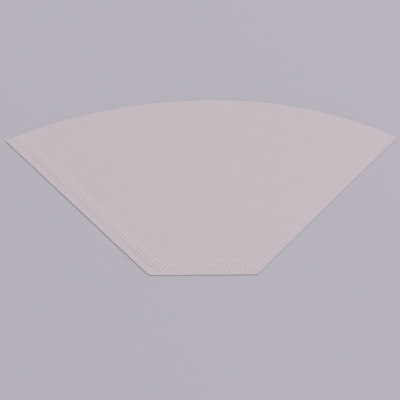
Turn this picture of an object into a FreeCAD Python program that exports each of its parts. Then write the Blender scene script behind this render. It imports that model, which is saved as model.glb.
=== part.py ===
import FreeCAD, Part
import math
import os

from FreeCAD import Placement, Rotation, Vector

# Folded paper coffee filter, wedge shaped, lying flat as it comes out of its pack.
# One sheet of paper is folded once, along the right-hand slanted side. The two plies
# are crimped together along the left-hand slanted side and along the short bottom
# edge. The long curved edge is the open mouth. The origin is on the underside, at the
# middle of the bounding box, +Y points from the bottom edge to the mouth, and +Z is up.

doc = FreeCAD.newDocument("coffee_filter")

# Driving dimensions in millimetres and degrees
sheet = doc.addObject("Spreadsheet::Sheet", "sizes")
DRIVING = [
    ("bottom_width", 50.0, "width of the short bottom edge"),
    ("side_length", 132.0, "length of each slanted side"),
    ("half_angle", 36.0, "angle of each slanted side from the middle line"),
    ("paper_thickness", 0.2, "thickness of one ply"),
    ("mouth_gap", 2.0, "how far the plies stand apart at the mouth, where they are furthest"),
    ("fold_run", 45.0, "how far that place is from the fold"),
    ("crimp_gap", 0.1, "how far the plies stand apart where the bottom seam lets them go"),
    ("pressed_strip", 1.0, "plies still pressed together beside the seams and the fold"),
    ("side_margin", 3.8, "plain margin outside the side seam"),
    ("side_seam", 5.8, "width of the side seam"),
    ("bottom_margin", 3.6, "plain margin outside the bottom seam"),
    ("bottom_seam", 7.1, "width of the bottom seam"),
    ("fold_margin", 1.2, "plain paper between the bottom seam and the fold"),
    ("rib_pitch", 2.0, "distance from rib to rib, square to the ribs"),
    ("rib_rise", 0.3, "height of the ribs above the plain paper"),
    ("rib_angle", 58.0, "direction of the ribs, from the bottom edge"),
    ("corner_radius", 4.0, "round corner where the two seams meet"),
]
for row, (alias, value, note) in enumerate(DRIVING, start=1):
    sheet.set(f"A{row}", str(value))
    sheet.setAlias(f"A{row}", alias)
    sheet.set(f"B{row}", note)

# Sizes that follow from the driving dimensions
DERIVED = [
    ("plies", "=2 * paper_thickness", "both plies pressed flat"),
    ("fold_round", "=0.48 * plies", "rounding of the fold's two edges, just short of meeting"),
    ("apex_drop", "=bottom_width / 2 / tan(half_angle)", "sides meet this far below the edge"),
    ("mouth_radius", "=bottom_width / 2 / sin(half_angle) + side_length", "curve of the mouth"),
    ("overall_depth", "=mouth_radius - apex_drop", "bottom edge to the middle of the mouth"),
    ("corner_depth", "=side_length * cos(half_angle)", "bottom edge to the mouth's corners"),
    ("far_depth", "=overall_depth + side_margin", "wedges end past the mouth"),
    ("pocket_depth", "=bottom_margin + bottom_seam + pressed_strip", "where the pocket starts"),
    ("pocket_inset", "=side_margin + side_seam + pressed_strip", "the same, from the side"),
    ("mouth_span", "=2 * mouth_radius * sin(half_angle) * cos(half_angle)", "a side to the far corner"),
    ("seam_run", "=mouth_span - pocket_inset - fold_run", "side seam to where the gap is widest"),
    ("depth_slope", "=(mouth_gap - crimp_gap) / (corner_depth - pocket_depth)", "rise to the mouth"),
    ("far_gap", "=crimp_gap + depth_slope * (far_depth - pocket_depth)", "gap at far_depth"),
    ("clear_height", "=plies + rib_rise + 2 * far_gap", "taller than the whole filter"),
]
for row, (alias, formula, note) in enumerate(DERIVED, start=len(DRIVING) + 1):
    sheet.set(f"A{row}", formula)
    sheet.setAlias(f"A{row}", alias)
    sheet.set(f"B{row}", note)
doc.recompute()


def size(formula):
    """What a formula of the sheet's values comes to, in millimetres or degrees."""
    return float(sheet.evalExpression(formula))


def half_width(depth, inset="0"):
    """Half the outline's width at a depth, less an inset square to the slanted side."""
    return (
        f"(sizes.bottom_width / 2 + ({depth}) * tan(sizes.half_angle)"
        f" - ({inset}) / cos(sizes.half_angle))"
    )


def fan(name, depth, side_inset, fold_inset, low, high, far_high):
    """A wedge with the outline's slanted sides, from a depth to past the mouth."""
    body = doc.addObject("Part::Wedge", name)
    body.setExpression("Ymin", depth)
    body.setExpression("Ymax", "sizes.far_depth")
    body.setExpression("Xmin", f"-{half_width(depth, side_inset)}")
    body.setExpression("Xmax", half_width(depth, fold_inset))
    body.setExpression("X2min", f"-{half_width('sizes.far_depth', side_inset)}")
    body.setExpression("X2max", half_width("sizes.far_depth", fold_inset))
    body.setExpression("Zmin", low)
    body.setExpression("Z2min", low)
    body.setExpression("Zmax", high)
    body.setExpression("Z2max", far_high)
    return body


def ramp(name, side, inset, run):
    """A wedge that rises away from one slanted side: side is -1 for the seam, 1 for the fold."""
    body = doc.addObject("Part::Wedge", name)
    for low, high in (("Xmin", "Xmax"), ("X2min", "X2max")):
        body.setExpression(low, "-2 * sizes.mouth_radius")
        body.setExpression(high, "2 * sizes.mouth_radius")
    body.setExpression("Ymin", "0")
    body.setExpression("Ymax", "sizes.mouth_span")
    body.setExpression("Zmin", "-sizes.clear_height")
    body.setExpression("Z2min", "-sizes.clear_height")
    body.setExpression("Zmax", "0")
    body.setExpression("Z2max", f"sizes.mouth_gap / ({run}) * sizes.mouth_span")
    body.Placement = Placement(Vector(), Rotation(Vector(0, 0, 1), 0))
    body.setExpression("Placement.Rotation.Angle", f"{side} * (90 - sizes.half_angle)")
    body.setExpression("Placement.Base.x", f"{side} * {half_width('0', inset)}")
    return body


def combine(kind, name, base, tool):
    """A boolean of two objects: Part::Cut, Part::Fuse or Part::Common."""
    result = doc.addObject(kind, name)
    result.Base = base
    result.Tool = tool
    return result


def edge_near(shape, point):
    """The number of the edge whose middle is nearest to a point."""
    edges = shape.Edges
    return 1 + min(range(len(edges)), key=lambda i: edges[i].CenterOfMass.distanceToPoint(point))


# Both plies pressed flat: the folded blank
blank = fan("blank", "0", "0", "0", "0", "sizes.plies", "sizes.plies")
doc.recompute()

# Fold along the right-hand side, and the round corner between the seams
middle = size("sizes.far_depth") / 2
fold_x, thick = size(half_width("sizes.far_depth / 2")), size("sizes.plies")
corner = Vector(-size("sizes.bottom_width") / 2, 0, thick / 2)
fold_round = size("sizes.fold_round")
folded_blank = doc.addObject("Part::Fillet", "folded_blank")
folded_blank.Base = blank
folded_blank.Edges = [
    (edge_near(blank.Shape, corner), size("sizes.corner_radius"), size("sizes.corner_radius")),
    (edge_near(blank.Shape, Vector(fold_x, middle, 0)), fold_round, fold_round),
    (edge_near(blank.Shape, Vector(fold_x, middle, thick)), fold_round, fold_round),
]


# The space between the plies: it rises from the bottom seam, from the side seam and from
# the fold, and its highest line runs out to the mouth
def space_between(name, height):
    """The space between the plies, standing on a height."""
    rise = fan(
        f"{name}_rise", "sizes.pocket_depth", "sizes.pocket_inset", "sizes.pressed_strip",
        "0", "sizes.crimp_gap", "sizes.far_gap",
    )
    from_seam = ramp(f"{name}_from_seam", -1, "sizes.pocket_inset", "sizes.seam_run")
    from_fold = ramp(f"{name}_from_fold", 1, "sizes.pressed_strip", "sizes.fold_run")
    lower = combine("Part::Common", f"{name}_lower", rise, from_seam)
    space = combine("Part::Common", name, lower, from_fold)
    space.setExpression("Placement.Base.z", height)
    return space


lifted_ply = combine("Part::Fuse", "lifted_ply", folded_blank, space_between("lift", "sizes.plies"))
open_sheet = combine("Part::Cut", "open_sheet", lifted_ply, space_between("pocket", "sizes.paper_thickness"))

# Crimped band: an L that runs up the side and along the bottom, inside plain margins
band_outside = fan(
    "band_outside", "sizes.bottom_margin", "sizes.side_margin", "sizes.fold_margin",
    "-sizes.clear_height", "sizes.clear_height", "sizes.clear_height",
)
band_inside = fan(
    "band_inside", "sizes.bottom_margin + sizes.bottom_seam", "sizes.side_margin + sizes.side_seam",
    "-sizes.fold_margin", "-sizes.clear_height", "sizes.clear_height", "sizes.clear_height",
)
band = combine("Part::Cut", "band", band_outside, band_inside)
plain_sheet = combine("Part::Cut", "plain_sheet", open_sheet, band)

# Mouth: a round cut, square to both slanted sides
mouth_cutter = doc.addObject("Part::Cylinder", "mouth_cutter")
mouth_cutter.setExpression("Radius", "sizes.mouth_radius")
mouth_cutter.setExpression("Height", "2 * sizes.clear_height")
mouth_cutter.setExpression("Placement.Base.y", "-sizes.apex_drop")
mouth_cutter.setExpression("Placement.Base.z", "-sizes.clear_height")
trimmed_sheet = combine("Part::Common", "trimmed_sheet", plain_sheet, mouth_cutter)
trimmed_band = combine("Part::Common", "trimmed_band", band, mouth_cutter)


def ribbed_plate():
    """Both plies pressed between toothed rollers: straight slanting ribs over the seams."""
    pitch, rise = size("sizes.rib_pitch"), size("sizes.rib_rise")
    across_ribs = Rotation(Vector(0, 0, 1), size("sizes.rib_angle")).multVec(Vector(0, 1, 0))
    seam_ends = [
        Vector(size("sizes.bottom_width") / 2, 0),
        Vector(-size("sizes.bottom_width") / 2, 0),
        Vector(-size(half_width("sizes.corner_depth")), size("sizes.corner_depth")),
    ]
    places = [point.dot(across_ribs) for point in seam_ends]
    spare = size("sizes.side_seam + sizes.bottom_seam")
    first, last = (min(places) - spare) / pitch, (max(places) + spare) / pitch
    tooth = [(0, 0), (pitch / 4, 0), (pitch / 2, rise), (3 * pitch / 4, rise)]
    reach = size("sizes.mouth_radius + sizes.bottom_width")
    lower = []
    for rib in range(math.floor(first), math.ceil(last)):
        for across, height in tooth:
            lower.append(Vector(-reach, rib * pitch + across, height))
    upper = [point + Vector(0, 0, size("sizes.plies")) for point in reversed(lower)]
    face = Part.Face(Part.makePolygon(lower + upper + lower[:1]))
    return face.extrude(Vector(2 * reach, 0, 0))


ribs = doc.addObject("Part::Feature", "ribs")
ribs.Shape = ribbed_plate()
ribs.Placement = Placement(Vector(), Rotation(Vector(0, 0, 1), size("sizes.rib_angle")))
crimped_band = combine("Part::Common", "crimped_band", trimmed_band, ribs)

coffee_filter = combine("Part::Fuse", "coffee_filter", trimmed_sheet, crimped_band)
coffee_filter.Label = "coffee_filter"
coffee_filter.setExpression("Placement.Base.y", "-sizes.overall_depth / 2")
doc.recompute()

# Nothing is written unless every object is sound
for item in doc.Objects:
    if "Invalid" in item.State or "Error" in item.State:
        raise RuntimeError(f"{item.Name} did not build: {item.State}")
solid = coffee_filter.Shape
if solid.isNull() or not solid.isValid() or len(solid.Solids) != 1:
    raise RuntimeError("coffee_filter is not one sound solid")

os.makedirs("parts", exist_ok=True)
solid.exportStep(f"parts/{coffee_filter.Label}.step")
box = solid.optimalBoundingBox(False, False)
print(f"{coffee_filter.Label}: {box.XLength:.2f} x {box.YLength:.2f} x {box.ZLength:.2f} mm")
print(f"{solid.Volume / 1000:.2f} cubic centimetres, {len(solid.Faces)} faces")
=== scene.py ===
import functools
import math
from collections import namedtuple

import bmesh
import bpy
from mathutils import Matrix, Vector


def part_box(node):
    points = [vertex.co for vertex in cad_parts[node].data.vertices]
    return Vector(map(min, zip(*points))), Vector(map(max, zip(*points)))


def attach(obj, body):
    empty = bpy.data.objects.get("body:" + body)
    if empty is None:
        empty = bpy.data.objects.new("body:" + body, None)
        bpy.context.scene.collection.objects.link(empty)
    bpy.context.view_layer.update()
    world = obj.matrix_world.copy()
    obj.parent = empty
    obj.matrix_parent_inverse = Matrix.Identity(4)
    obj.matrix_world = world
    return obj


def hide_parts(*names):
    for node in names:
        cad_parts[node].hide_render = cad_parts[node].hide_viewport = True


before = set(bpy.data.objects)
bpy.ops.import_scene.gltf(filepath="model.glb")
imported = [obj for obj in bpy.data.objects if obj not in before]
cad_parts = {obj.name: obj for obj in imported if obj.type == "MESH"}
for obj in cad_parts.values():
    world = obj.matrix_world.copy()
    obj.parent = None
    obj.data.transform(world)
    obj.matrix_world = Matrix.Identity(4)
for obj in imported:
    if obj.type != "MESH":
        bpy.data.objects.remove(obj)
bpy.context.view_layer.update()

scene = bpy.context.scene

# Folded paper: one blank of bleached, creped filter paper, folded once along the right-hand
# slanted side. Its two plies part a little towards the open curved mouth. Toothed rollers have
# crimped them together, without glue, along the other slanted side and the bottom edge.
PLY = 0.0002
BOTTOM_WIDTH = 0.050
HALF_ANGLE = math.radians(36)
CORNER_RADIUS = 0.0040
EDGE_BULGE = 0.00005

# Plain margins outside the crimped seam, the widths of its two arms, and the strip that stays
# pressed inside them and at the fold
SIDE_MARGIN, SIDE_SEAM = 0.0038, 0.0058
BOTTOM_MARGIN, BOTTOM_SEAM = 0.0036, 0.0071
FOLD_MARGIN = 0.0012
PRESSED_STRIP = 0.0010

# Rise of the upper ply: its height at the mouth, its run up to there from the fold, the small gap
# that it gains first past the bottom seam, how sharply its slopes meet, and its slow waves, as a
# share of the height
MOUTH_GAP = 0.0020
FOLD_RUN = 0.045
CRIMP_GAP, CRIMP_EASE = 0.0001, 0.003
RISE_SOFTNESS = 6.0
RISE_WAVINESS = 0.06
WAVES_PER_METRE = 14.0

# Ribs of the seam: the shift is a share of the pitch, and the unevenness a share of the rise
RIB_PITCH = 0.0020
RIB_RISE = 0.0003
RIB_ANGLE = math.radians(58)
RIB_EASE = 0.0007
RIB_SHIFT = 0.125
RIB_UNEVENNESS = 0.35
RIB_PATCHES_PER_METRE = 90.0

# Sizes that follow from these and from the width of the CAD filter
low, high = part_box("coffee_filter")
MOUTH_RADIUS = (high.x - low.x) / 2 / math.sin(HALF_ANGLE)
APEX_DROP = BOTTOM_WIDTH / 2 / math.tan(HALF_ANGLE)
DEPTH = MOUTH_RADIUS - APEX_DROP
CORNER_DEPTH = MOUTH_RADIUS * math.cos(HALF_ANGLE) - APEX_DROP
POCKET_INSET = SIDE_MARGIN + SIDE_SEAM + PRESSED_STRIP
POCKET_DEPTH = BOTTOM_MARGIN + BOTTOM_SEAM + PRESSED_STRIP
SEAM_RUN = MOUTH_RADIUS * math.sin(2 * HALF_ANGLE) - POCKET_INSET - FOLD_RUN
BOTTOM_RUN = CORNER_DEPTH - POCKET_DEPTH

# Directions and corners in the blank's plan, whose zero is the middle of the bottom edge
ALONG = Vector((math.cos(RIB_ANGLE), math.sin(RIB_ANGLE)))
ACROSS = Vector((-math.sin(RIB_ANGLE), math.cos(RIB_ANGLE)))
TO_SEAM = Vector((-math.cos(HALF_ANGLE), -math.sin(HALF_ANGLE)))
TO_FOLD = Vector((math.cos(HALF_ANGLE), -math.sin(HALF_ANGLE)))
TO_BOTTOM = Vector((0, -1))
BOTTOM_LEFT = Vector((-BOTTOM_WIDTH / 2, 0))
BOTTOM_RIGHT = Vector((BOTTOM_WIDTH / 2, 0))
APEX = Vector((0, -APEX_DROP))
ROUND_INSET = CORNER_RADIUS * (1 - math.sin(HALF_ANGLE)) / math.cos(HALF_ANGLE)
ROUND_CENTRE = BOTTOM_LEFT + Vector((ROUND_INSET, CORNER_RADIUS))


# The mesh runs in columns along the ribs, so that each rib has straight, clean flanks
def meets_line(across, corner, outward, inset):
    """How far along its column a point lies at an inset from a straight edge."""
    return ((corner - across * ACROSS).dot(outward) - inset) / ALONG.dot(outward)


def meets_circle(across, centre, radius, side):
    """Where a column crosses a circle: side is -1 for the first crossing, 1 for the second."""
    offset = across * ACROSS - centre
    half = offset.dot(ALONG)
    return -half + side * math.sqrt(max(half * half - offset.length_squared + radius * radius, 0))


def mouth_end(corner, outward, inset):
    """The place across the columns where a line beside a slanted edge meets the mouth."""
    onward = Vector((-outward.y, outward.x)) if outward.x > 0 else Vector((outward.y, -outward.x))
    start = corner - inset * outward
    offset = start - APEX
    half = offset.dot(onward)
    run = -half + math.sqrt(half * half - offset.length_squared + MOUTH_RADIUS ** 2)
    return (start + run * onward).dot(ACROSS)


def blank_edge(across):
    """Where a column leaves the edge of the blank: how far along, the way out, and its bulge."""
    if round_from < across < round_to:
        along = meets_circle(across, ROUND_CENTRE, CORNER_RADIUS - EDGE_BULGE, -1)
        return along, (across * ACROSS + along * ALONG - ROUND_CENTRE).normalized(), EDGE_BULGE
    return max(
        (meets_line(across, BOTTOM_LEFT, TO_SEAM, EDGE_BULGE), TO_SEAM, EDGE_BULGE),
        (meets_line(across, BOTTOM_LEFT, TO_BOTTOM, EDGE_BULGE), TO_BOTTOM, EDGE_BULGE),
        (meets_line(across, BOTTOM_RIGHT, TO_FOLD, PLY), TO_FOLD, PLY),
        key=lambda edge: edge[0],
    )


COLUMNS_PER_RIB = 10
round_from = (ROUND_CENTRE + CORNER_RADIUS * TO_BOTTOM).dot(ACROSS)
round_to = (ROUND_CENTRE + CORNER_RADIUS * TO_SEAM).dot(ACROSS)
fold_foot = BOTTOM_RIGHT.dot(ACROSS)
first = mouth_end(BOTTOM_RIGHT, TO_FOLD, PLY)
last = mouth_end(BOTTOM_LEFT, TO_SEAM, EDGE_BULGE)
pocket_first = mouth_end(BOTTOM_RIGHT, TO_FOLD, PRESSED_STRIP)
pocket_last = mouth_end(BOTTOM_LEFT, TO_SEAM, POCKET_INSET)
step = RIB_PITCH / COLUMNS_PER_RIB
# Short, because the round edge of the fold turns into two cut edges at its foot
short_step = step / 50
columns = {first, pocket_first, pocket_last, last}
columns |= {round_from, round_to, fold_foot, fold_foot + short_step}
columns |= {step * place for place in range(math.ceil(first / step), math.floor(last / step) + 1)}

# Rows down a column, as shares of the plain margin, the seam, the paper past it, and the pocket
MARGIN_ROWS = [0.0, 0.06, 0.5]
SEAM_ROWS = [0.0, 0.03, 0.06, 0.12, 0.3, 0.5, 0.7, 0.88, 0.94, 0.97]
OPEN_ROWS = [0.0, 0.01, 0.03, 0.07, 0.13, 0.2, 0.28, 0.37, 0.46]
OPEN_ROWS += [0.55, 0.64, 0.73, 0.82, 0.9, 0.96, 0.998, 1.0]
POCKET_ROWS = [0.0, 0.02, 0.06, 0.14, 0.26, 0.4, 0.55, 0.7, 0.85, 1.0]

# In the pocket the flat plies lie a hair apart, further than points that are merged. A pocket
# that would be shorter than the shortest stays shut.
PLIES_APART = 0.000001
SAME_POINT = PLIES_APART / 10
NO_LENGTH = SAME_POINT / 10
SHORTEST_POCKET = 0.0003

# Edge profiles, as shares of height and bulge: two cut plies, or one round fold
CUT_PROFILE = [(1.0, 0.0), (0.94, 0.7), (0.75, 1.0), (0.56, 0.7), (0.5, 0.0)]
CUT_PROFILE += [(0.44, 0.7), (0.25, 1.0), (0.06, 0.7), (0.0, 0.0)]
FOLD_TURNS = [place * math.pi / (len(CUT_PROFILE) - 1) for place in range(len(CUT_PROFILE))]
FOLD_PROFILE = [(0.5 + 0.5 * math.cos(turn), math.sin(turn)) for turn in FOLD_TURNS]

Column = namedtuple("Column", "upper lower edge ceiling floor")
mesh = bmesh.new()
# Vertex marks: where a cut edge gets a painted highlight, and which points belong to the upper ply
cut_edge_highlight = mesh.verts.layers.float.new("cut_edge_highlight")
upper_ply = mesh.verts.layers.float.new("upper_ply")


def add_point(across, along, height, cut=0.0, upper=0.0):
    """One vertex: its place in the plan, its height, and marks for the painted highlight of a cut
    edge and for the upper ply.
    """
    plan = across * ACROSS + along * ALONG
    vertex = mesh.verts.new((plan.x, plan.y - DEPTH / 2, height))
    vertex[cut_edge_highlight] = cut
    vertex[upper_ply] = upper
    return vertex


def column_points(across):
    """The vertices of one column, over and under the sheet, round its edge and in the pocket."""
    mouth = meets_circle(across, APEX, MOUTH_RADIUS, 1)
    start, outward, bulge = blank_edge(across)
    start = min(start, mouth)
    seam_start = max(
        start,
        meets_line(across, BOTTOM_LEFT, TO_SEAM, SIDE_MARGIN),
        meets_line(across, BOTTOM_LEFT, TO_BOTTOM, BOTTOM_MARGIN),
        meets_line(across, BOTTOM_RIGHT, TO_FOLD, FOLD_MARGIN),
    )
    seam_end = max(
        start,
        meets_line(across, BOTTOM_LEFT, TO_SEAM, SIDE_MARGIN + SIDE_SEAM),
        meets_line(across, BOTTOM_LEFT, TO_BOTTOM, BOTTOM_MARGIN + BOTTOM_SEAM),
    )
    seam_end = min(seam_end, mouth)
    seam_start = min(seam_start, seam_end)
    rows = [start + (seam_start - start) * share for share in MARGIN_ROWS]
    rows += [seam_start + (seam_end - seam_start) * share for share in SEAM_ROWS]
    rows += [seam_end + (mouth - seam_end) * share for share in OPEN_ROWS]
    upper = [add_point(across, along, 2 * PLY, upper=1.0) for along in rows]
    lower = [add_point(across, along, 0) for along in rows]
    # The cut edge at the mouth gets the painted highlight
    upper[-1][cut_edge_highlight] = lower[-1][cut_edge_highlight] = 1.0

    folded = outward is TO_FOLD
    edge = [upper[0]]
    for height, reach in (FOLD_PROFILE if folded else CUT_PROFILE)[1:-1]:
        # Cut edges get the painted highlight, the round fold does not
        vertex = add_point(across, start, 2 * PLY * height, cut=0.0 if folded else 1.0)
        vertex.co.x += outward.x * bulge * reach
        vertex.co.y += outward.y * bulge * reach
        edge.append(vertex)
    edge.append(lower[0])

    if not pocket_first <= across <= pocket_last:
        middle = add_point(across, mouth, PLY, cut=1.0)
        return Column(upper, lower, edge, [middle], [middle])
    run = mouth - max(
        meets_line(across, BOTTOM_LEFT, TO_SEAM, POCKET_INSET),
        meets_line(across, BOTTOM_LEFT, TO_BOTTOM, POCKET_DEPTH),
        meets_line(across, BOTTOM_RIGHT, TO_FOLD, PRESSED_STRIP),
    )
    if run < SHORTEST_POCKET:
        run = 0.0
    ceiling, floor = [], []
    for share in POCKET_ROWS:
        along = mouth - run * (1 - share)
        apart = PLIES_APART if run * share > 0 else 0.0
        ceiling.append(add_point(across, along, PLY + apart, upper=1.0))
        floor.append(add_point(across, along, PLY))
    return Column(upper, lower, edge, ceiling, floor)


def fill_between(one, two):
    """Faces between two rows of vertices of equal length."""
    for place in range(len(one) - 1):
        mesh.faces.new((one[place], one[place + 1], two[place + 1], two[place]))


built = [column_points(across) for across in sorted(columns)]
for one, two in zip(built, built[1:]):
    fill_between(two.upper, one.upper)
    fill_between(one.lower, two.lower)
    fill_between(one.edge, two.edge)
    mesh.faces.new((one.upper[-1], two.upper[-1], two.ceiling[-1], one.ceiling[-1]))
    mesh.faces.new((one.floor[-1], two.floor[-1], two.lower[-1], one.lower[-1]))
    if len(one.ceiling) == len(two.ceiling) > 1:
        fill_between(one.ceiling, two.ceiling)
        fill_between(two.floor, one.floor)
mesh.faces.new(built[0].edge[::-1] + built[0].ceiling)
mesh.faces.new(built[-1].edge + built[-1].ceiling)
bmesh.ops.remove_doubles(mesh, verts=mesh.verts, dist=SAME_POINT)
bmesh.ops.dissolve_degenerate(mesh, edges=mesh.edges, dist=NO_LENGTH)
bmesh.ops.recalc_face_normals(mesh, faces=mesh.faces)
blank_mesh = bpy.data.meshes.new("folded_blank")
mesh.to_mesh(blank_mesh)
mesh.free()
blank = bpy.data.objects.new("folded_blank", blank_mesh)
scene.collection.objects.link(blank)

# The tree forms the flat blank: it parts the plies and presses the ribs of the crimped seam.
# Each noise is spread from its middle span to the full range, and no share of the rise falls
# below the least one where powers of it are added up.
NOISE_SPAN = (0.35, 0.65)
LEAST_SHARE = 0.0001
forming = bpy.data.node_groups.new("sheet_forming", "GeometryNodeTree")
forming_sizes = {
    "Half Angle": HALF_ANGLE,
    "Half Bottom": BOTTOM_WIDTH / 2,
    "Half Depth": DEPTH / 2,
    "Side Margin": SIDE_MARGIN,
    "Side Seam": SIDE_SEAM,
    "Bottom Margin": BOTTOM_MARGIN,
    "Bottom Seam": BOTTOM_SEAM,
    "Fold Margin": FOLD_MARGIN,
    "Pressed Strip": PRESSED_STRIP,
    "Mouth Gap": MOUTH_GAP,
    "Fold Run": FOLD_RUN,
    "Seam Run": SEAM_RUN,
    "Bottom Run": BOTTOM_RUN,
    "Crimp Gap": CRIMP_GAP,
    "Crimp Ease": CRIMP_EASE,
    "Softness": RISE_SOFTNESS,
    "Waviness": RISE_WAVINESS,
    "Waves per Metre": WAVES_PER_METRE,
    "Rib Pitch": RIB_PITCH,
    "Rib Rise": RIB_RISE,
    "Rib Angle": RIB_ANGLE,
    "Rib Shift": RIB_SHIFT,
    "Rib Ease": RIB_EASE,
    "Rib Unevenness": RIB_UNEVENNESS,
    "Patches per Metre": RIB_PATCHES_PER_METRE,
}
forming.interface.new_socket("Geometry", in_out="INPUT", socket_type="NodeSocketGeometry")
for name in forming_sizes:
    forming.interface.new_socket(name, in_out="INPUT", socket_type="NodeSocketFloat")
forming.interface.new_socket("Material", in_out="INPUT", socket_type="NodeSocketMaterial")
forming.interface.new_socket("Geometry", in_out="OUTPUT", socket_type="NodeSocketGeometry")
given = forming.nodes.new("NodeGroupInput").outputs


def reckon(tree, operation, *values):
    """A Math node's result, from numbers or from other nodes."""
    node = tree.nodes.new("ShaderNodeMath")
    node.operation = operation
    for socket, value in zip(node.inputs, values):
        if isinstance(value, bpy.types.NodeSocket):
            tree.links.new(value, socket)
        else:
            socket.default_value = value
    return node.outputs[0]


def ease(tree, value, since, until, result_low=0.0, result_high=1.0, kind="SMOOTHSTEP"):
    """A value brought from one range to another and held inside it."""
    node = tree.nodes.new("ShaderNodeMapRange")
    node.interpolation_type = kind
    tree.links.new(value, node.inputs["Value"])
    limits = {"From Min": since, "From Max": until, "To Min": result_low, "To Max": result_high}
    for name, limit in limits.items():
        if isinstance(limit, bpy.types.NodeSocket):
            tree.links.new(limit, node.inputs[name])
        else:
            node.inputs[name].default_value = limit
    return node.outputs["Result"]


def noise(tree, place, scale):
    """A smooth noise over a place, from 0 to 1."""
    node = tree.nodes.new("ShaderNodeTexNoise")
    tree.links.new(place, node.inputs["Vector"])
    tree.links.new(scale, node.inputs["Scale"])
    return node.outputs[0]


# How far a point lies past each margin, and past the pressed strip inside each seam
form = functools.partial(reckon, forming)
position = forming.nodes.new("GeometryNodeInputPosition").outputs[0]
plan = forming.nodes.new("ShaderNodeSeparateXYZ")
forming.links.new(position, plan.inputs[0])
plan_x = plan.outputs["X"]
plan_y = form("ADD", plan.outputs["Y"], given["Half Depth"])
cosine = form("COSINE", given["Half Angle"])
leaning = form("MULTIPLY", plan_y, form("SINE", given["Half Angle"]))
from_side = form("MULTIPLY_ADD", form("ADD", given["Half Bottom"], plan_x), cosine, leaning)
from_fold = form("MULTIPLY_ADD", form("SUBTRACT", given["Half Bottom"], plan_x), cosine, leaning)
past_side = form("SUBTRACT", from_side, given["Side Margin"])
past_bottom = form("SUBTRACT", plan_y, given["Bottom Margin"])
past_fold = form("SUBTRACT", from_fold, given["Fold Margin"])
past_side_seam = form("SUBTRACT", past_side, given["Side Seam"])
past_bottom_seam = form("SUBTRACT", past_bottom, given["Bottom Seam"])

# The upper ply rises from both seams and from the fold, as far as the least of the three allows
above_strip = form("MAXIMUM", form("SUBTRACT", past_bottom_seam, given["Pressed Strip"]), 0.0)
beside_strip = form("SUBTRACT", past_side_seam, given["Pressed Strip"])
beside_fold = form("SUBTRACT", from_fold, given["Pressed Strip"])
pinched = form("EXPONENT", form("DIVIDE", form("MULTIPLY", above_strip, -1.0), given["Crimp Ease"]))
crimp_share = form("DIVIDE", given["Crimp Gap"], given["Mouth Gap"])
off_crimp = form("MULTIPLY", crimp_share, form("SUBTRACT", 1.0, pinched))
off_bottom = form("ADD", form("DIVIDE", above_strip, given["Bottom Run"]), off_crimp)
off_side = form("DIVIDE", beside_strip, given["Seam Run"])
off_fold = form("DIVIDE", beside_fold, given["Fold Run"])
least = form("MINIMUM", form("MINIMUM", off_bottom, off_side), off_fold)
power = form("MULTIPLY", given["Softness"], -1.0)
total = 0.0
for share in (off_bottom, off_side, off_fold):
    total = form("ADD", total, form("POWER", form("MAXIMUM", share, LEAST_SHARE), power))
risen = form("MULTIPLY", form("POWER", total, form("DIVIDE", 1.0, power)), given["Mouth Gap"])
risen = form("MULTIPLY", risen, form("GREATER_THAN", least, 0.0))
shallow = form("SUBTRACT", 1.0, given["Waviness"])
steep = form("ADD", 1.0, given["Waviness"])
waves = noise(forming, position, given["Waves per Metre"])
waves = ease(forming, waves, *NOISE_SPAN, shallow, steep)
ply_mark = forming.nodes.new("GeometryNodeInputNamedAttribute")
ply_mark.inputs["Name"].default_value = "upper_ply"
parting = form("MULTIPLY", form("MULTIPLY", risen, waves), ply_mark.outputs["Attribute"])

# Ribs of the crimped seam: an L that runs up the side and along the bottom, in plain margins
side_left = form("MULTIPLY", past_side_seam, -1.0)
bottom_left = form("MULTIPLY", past_bottom_seam, -1.0)
inside = form("MAXIMUM", side_left, bottom_left)
for margin in (past_side, past_bottom, past_fold):
    inside = form("MINIMUM", inside, margin)
pressed = ease(forming, inside, 0.0, given["Rib Ease"])
across_x = form("MULTIPLY", plan_x, form("SINE", given["Rib Angle"]))
across_y = form("MULTIPLY", plan_y, form("COSINE", given["Rib Angle"]))
teeth = form("DIVIDE", form("SUBTRACT", across_y, across_x), given["Rib Pitch"])
turns = form("MULTIPLY", form("SUBTRACT", teeth, given["Rib Shift"]), 2 * math.pi)
tooth = ease(forming, form("COSINE", turns), 1.0, -1.0)
worn = ease(forming, noise(forming, position, given["Patches per Metre"]), *NOISE_SPAN)
weak = form("MULTIPLY", worn, given["Rib Unevenness"])
strength = form("MULTIPLY", pressed, form("SUBTRACT", 1.0, weak))
crest = form("MULTIPLY", tooth, strength)
valley = form("SUBTRACT", strength, crest)

# The crest share is kept on the mesh for a lower roughness and a painted highlight on the rib
# crests, the valley share only for painted shade in the rib valleys
shape = given["Geometry"]
for name, value in (("rib_crest", crest), ("rib_valley_shade", valley)):
    store = forming.nodes.new("GeometryNodeStoreNamedAttribute")
    store.inputs["Name"].default_value = name
    forming.links.new(shape, store.inputs["Geometry"])
    forming.links.new(value, store.inputs["Value"])
    shape = store.outputs["Geometry"]
lift = forming.nodes.new("ShaderNodeCombineXYZ")
forming.links.new(form("MULTIPLY_ADD", crest, given["Rib Rise"], parting), lift.inputs["Z"])
formed = forming.nodes.new("GeometryNodeSetPosition")
forming.links.new(shape, formed.inputs["Geometry"])
forming.links.new(lift.outputs[0], formed.inputs["Offset"])
realize = forming.nodes.new("GeometryNodeRealizeInstances")
forming.links.new(formed.outputs[0], realize.inputs[0])
covered = forming.nodes.new("GeometryNodeSetMaterial")
forming.links.new(realize.outputs[0], covered.inputs["Geometry"])
forming.links.new(given["Material"], covered.inputs["Material"])
forming.links.new(covered.outputs[0], forming.nodes.new("NodeGroupOutput").inputs[0])

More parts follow.
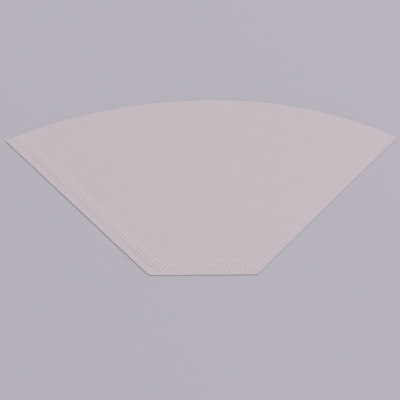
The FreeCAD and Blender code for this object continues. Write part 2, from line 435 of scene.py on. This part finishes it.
# Grain of the pulp: soft clouds, and short fibres that lie in all directions
grain_sizes = {"Clouds per Metre": 260.0, "Fibres per Metre": 900.0, "Fibre Slimness": 7.0}
FIBRE_TURNS = (0.35, 1.25, 2.2, 2.9)  # in radians
FIBRE_SPAN = (0.5, 0.75)
grain = bpy.data.node_groups.new("pulp_grain", "ShaderNodeTree")
grain.interface.new_socket("Vector", in_out="INPUT", socket_type="NodeSocketVector")
for name, value in grain_sizes.items():
    socket = grain.interface.new_socket(name, in_out="INPUT", socket_type="NodeSocketFloat")
    socket.default_value = value
for name in ("Clouds", "Fibres"):
    grain.interface.new_socket(name, in_out="OUTPUT", socket_type="NodeSocketFloat")
grain_given = grain.nodes.new("NodeGroupInput").outputs
grain_result = grain.nodes.new("NodeGroupOutput").inputs
clouds = grain.nodes.new("ShaderNodeTexNoise")
clouds.inputs["Detail"].default_value = 4.0
clouds.inputs["Roughness"].default_value = 0.6
grain.links.new(grain_given["Vector"], clouds.inputs["Vector"])
grain.links.new(grain_given["Clouds per Metre"], clouds.inputs["Scale"])
grain.links.new(clouds.outputs[0], grain_result["Clouds"])
fibres = None
for turn in FIBRE_TURNS:
    turned = grain.nodes.new("ShaderNodeVectorRotate")
    turned.inputs["Angle"].default_value = turn
    grain.links.new(grain_given["Vector"], turned.inputs["Vector"])
    slim = grain.nodes.new("ShaderNodeCombineXYZ")
    slim.inputs["X"].default_value = 1.0
    slim.inputs["Z"].default_value = 1.0
    grain.links.new(grain_given["Fibre Slimness"], slim.inputs["Y"])
    drawn = grain.nodes.new("ShaderNodeVectorMath")
    drawn.operation = "MULTIPLY"
    grain.links.new(turned.outputs[0], drawn.inputs[0])
    grain.links.new(slim.outputs[0], drawn.inputs[1])
    strands = grain.nodes.new("ShaderNodeTexNoise")
    strands.inputs["Detail"].default_value = 1.0
    strands.inputs["Distortion"].default_value = 0.6
    grain.links.new(drawn.outputs[0], strands.inputs["Vector"])
    grain.links.new(grain_given["Fibres per Metre"], strands.inputs["Scale"])
    layer = ease(grain, strands.outputs[0], *FIBRE_SPAN, kind="LINEAR")
    fibres = reckon(grain, "MAXIMUM", fibres, layer) if fibres else layer
grain.links.new(fibres, grain_result["Fibres"])

# Creping: fine wrinkles across the blank, from the blade that scrapes the paper off its roll
creping_sizes = {"Wrinkles": 300.0, "Wander": 6.0}
creping = bpy.data.node_groups.new("creping", "ShaderNodeTree")
creping.interface.new_socket("Vector", in_out="INPUT", socket_type="NodeSocketVector")
for name, value in creping_sizes.items():
    socket = creping.interface.new_socket(name, in_out="INPUT", socket_type="NodeSocketFloat")
    socket.default_value = value
creping.interface.new_socket("Height", in_out="OUTPUT", socket_type="NodeSocketFloat")
creping_given = creping.nodes.new("NodeGroupInput").outputs
wrinkles = creping.nodes.new("ShaderNodeTexWave")
wrinkles.bands_direction = "Y"
wrinkles.inputs["Detail"].default_value = 2.0
wrinkles.inputs["Detail Scale"].default_value = 0.4
creping.links.new(creping_given["Vector"], wrinkles.inputs["Vector"])
creping.links.new(creping_given["Wrinkles"], wrinkles.inputs["Scale"])
creping.links.new(creping_given["Wander"], wrinkles.inputs["Distortion"])
creping_result = creping.nodes.new("NodeGroupOutput").inputs
creping.links.new(wrinkles.outputs["Fac"], creping_result["Height"])

# Filter paper: matt white, a shade greyer where it is thin, with painted shade in the rib valleys
# and a painted highlight on the rib crests and cut edges
PAPER = (0.564, 0.501, 0.540, 1)
PAPER_THIN = (0.553, 0.490, 0.528, 1)
# Painted shade for the rib valleys, and a painted highlight for the rib crests
PAPER_VALLEY_SHADE = (0.536, 0.476, 0.512, 1)
PAPER_CREST_HIGHLIGHT = (0.586, 0.521, 0.560, 1)
# A painted highlight for the cut edges
PAPER_CUT_HIGHLIGHT = (0.609, 0.543, 0.583, 1)
CLOUD_RELIEF, CREPE_RELIEF, FIBRE_RELIEF = 0.00006, 0.000018, 0.000011
ROUGHNESS_SPAN = (0.86, 0.96)
CREST_POLISH = 0.82
MIX_FROM, MIX_TO = 6, 7  # the colour inputs of a Mix node
paper = bpy.data.materials.new("filter_paper")
paper.use_nodes = True
tree = paper.node_tree
shader = tree.nodes["Principled BSDF"]
shader.inputs["Specular IOR Level"].default_value = 0.3
shader.inputs["Sheen Weight"].default_value = 0.08
shader.inputs["Sheen Roughness"].default_value = 0.6
sheet_place = tree.nodes.new("ShaderNodeTexCoord").outputs["Object"]
pulp = tree.nodes.new("ShaderNodeGroup")
pulp.node_tree = grain
tree.links.new(sheet_place, pulp.inputs["Vector"])
crepe = tree.nodes.new("ShaderNodeGroup")
crepe.node_tree = creping
tree.links.new(sheet_place, crepe.inputs["Vector"])


def mesh_mask(name):
    """A value that the mesh carries, as a mask of the material."""
    node = tree.nodes.new("ShaderNodeAttribute")
    node.attribute_name = name
    return node.outputs["Fac"]


def tinted(colour, tint, share):
    """A colour turned towards a tint by a mask."""
    node = tree.nodes.new("ShaderNodeMix")
    node.data_type = "RGBA"
    tree.links.new(share, node.inputs[0])
    node.inputs[MIX_TO].default_value = tint
    if isinstance(colour, bpy.types.NodeSocket):
        tree.links.new(colour, node.inputs[MIX_FROM])
    else:
        node.inputs[MIX_FROM].default_value = colour
    return node.outputs[2]


colour = tinted(PAPER, PAPER_THIN, ease(tree, pulp.outputs["Clouds"], *NOISE_SPAN))
# Painted shade darkens the rib valleys, and a painted highlight lightens the rib crests
colour = tinted(colour, PAPER_VALLEY_SHADE, mesh_mask("rib_valley_shade"))
colour = tinted(colour, PAPER_CREST_HIGHLIGHT, mesh_mask("rib_crest"))
# Painted highlight along the cut edges
colour = tinted(colour, PAPER_CUT_HIGHLIGHT, mesh_mask("cut_edge_highlight"))
tree.links.new(colour, shader.inputs["Base Color"])
dullness = ease(tree, pulp.outputs["Fibres"], 0.0, 1.0, *ROUGHNESS_SPAN, kind="LINEAR")
polish = ease(tree, mesh_mask("rib_crest"), 0.0, 1.0, 1.0, CREST_POLISH, kind="LINEAR")
tree.links.new(reckon(tree, "MULTIPLY", dullness, polish), shader.inputs["Roughness"])
reliefs = (
    (pulp.outputs["Clouds"], CLOUD_RELIEF),
    (crepe.outputs["Height"], CREPE_RELIEF),
    (pulp.outputs["Fibres"], FIBRE_RELIEF),
)
surface = None
for height, depth in reliefs:
    bump = tree.nodes.new("ShaderNodeBump")
    bump.inputs["Distance"].default_value = depth
    tree.links.new(height, bump.inputs["Height"])
    if surface:
        tree.links.new(surface, bump.inputs["Normal"])
    surface = bump.outputs[0]
tree.links.new(surface, shader.inputs["Normal"])

# The blank is formed, and the sheet takes the CAD node's place
SHARP_ANGLE = math.radians(50)
rollers = blank.modifiers.new("rollers", "NODES")
rollers.node_group = forming
for socket in forming.interface.items_tree:
    if socket.in_out == "INPUT" and socket.name in forming_sizes:
        rollers[socket.identifier] = forming_sizes[socket.name]
    elif socket.in_out == "INPUT" and socket.name == "Material":
        rollers[socket.identifier] = paper
formed_blank = blank.evaluated_get(bpy.context.evaluated_depsgraph_get())
sheet_mesh = bpy.data.meshes.new_from_object(formed_blank)
sheet_mesh.name = "folded_paper"
sheet_mesh.polygons.foreach_set("use_smooth", [True] * len(sheet_mesh.polygons))
sheet_mesh.set_sharp_from_angle(angle=SHARP_ANGLE)
bpy.data.objects.remove(blank)
folded_paper = bpy.data.objects.new("folded_paper", sheet_mesh)
scene.collection.objects.link(folded_paper)
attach(folded_paper, "root")
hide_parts("coffee_filter")

# Studio: a plain pale table top and one large soft lamp, high up on the right. The camera looks
# down at the bottom edge from the front, as in the photograph.
TABLE_HALF = 3.0
TABLE_COLOUR = (0.475, 0.448, 0.502, 1)
table_mesh = bpy.data.meshes.new("table_top")
table_ends = (-TABLE_HALF, TABLE_HALF)
table_corners = [(x, y, 0) for y in table_ends for x in table_ends]
table_mesh.from_pydata(table_corners, [], [(0, 1, 3, 2)])
table_paint = bpy.data.materials.new("table_paint")
table_paint.use_nodes = True
table_shader = table_paint.node_tree.nodes["Principled BSDF"]
table_shader.inputs["Base Color"].default_value = TABLE_COLOUR
table_shader.inputs["Roughness"].default_value = 0.9
table_mesh.materials.append(table_paint)
table_top = bpy.data.objects.new("table_top", table_mesh)
scene.collection.objects.link(table_top)

studio = bpy.data.worlds.new("studio")
studio.use_nodes = True
studio.node_tree.nodes["Background"].inputs["Color"].default_value = (1, 1, 1, 1)
studio.node_tree.nodes["Background"].inputs["Strength"].default_value = 0.6
scene.world = studio

LAMP_PLACE = Vector((2.4, 1.0, 3.3))
lamp = bpy.data.lights.new("soft_lamp", "AREA")
lamp.energy = 92
lamp.size = 2.4
soft_lamp = bpy.data.objects.new("soft_lamp", lamp)
soft_lamp.location = LAMP_PLACE
soft_lamp.rotation_euler = (-LAMP_PLACE).to_track_quat("-Z", "Y").to_euler()
scene.collection.objects.link(soft_lamp)

CAMERA_PLACE = Vector((-0.00149, -0.55282, 0.42959))
YAW, PITCH, ROLL = math.radians(-0.051), math.radians(38.560), math.radians(-0.462)
FOCAL_PIXELS = 1391.1
PHOTO_PIXELS = 400
camera_data = bpy.data.cameras.new("camera")
camera_data.sensor_width = 36
camera_data.lens = FOCAL_PIXELS / PHOTO_PIXELS * camera_data.sensor_width
camera_data.clip_start = 0.01
camera = bpy.data.objects.new("camera", camera_data)
aim = Matrix.Rotation(YAW, 4, "Z") @ Matrix.Rotation(math.pi / 2 - PITCH, 4, "X")
camera.matrix_world = Matrix.Translation(CAMERA_PLACE) @ aim @ Matrix.Rotation(ROLL, 4, "Z")
scene.collection.objects.link(camera)
scene.camera = camera
scene.view_settings.view_transform = "Standard"
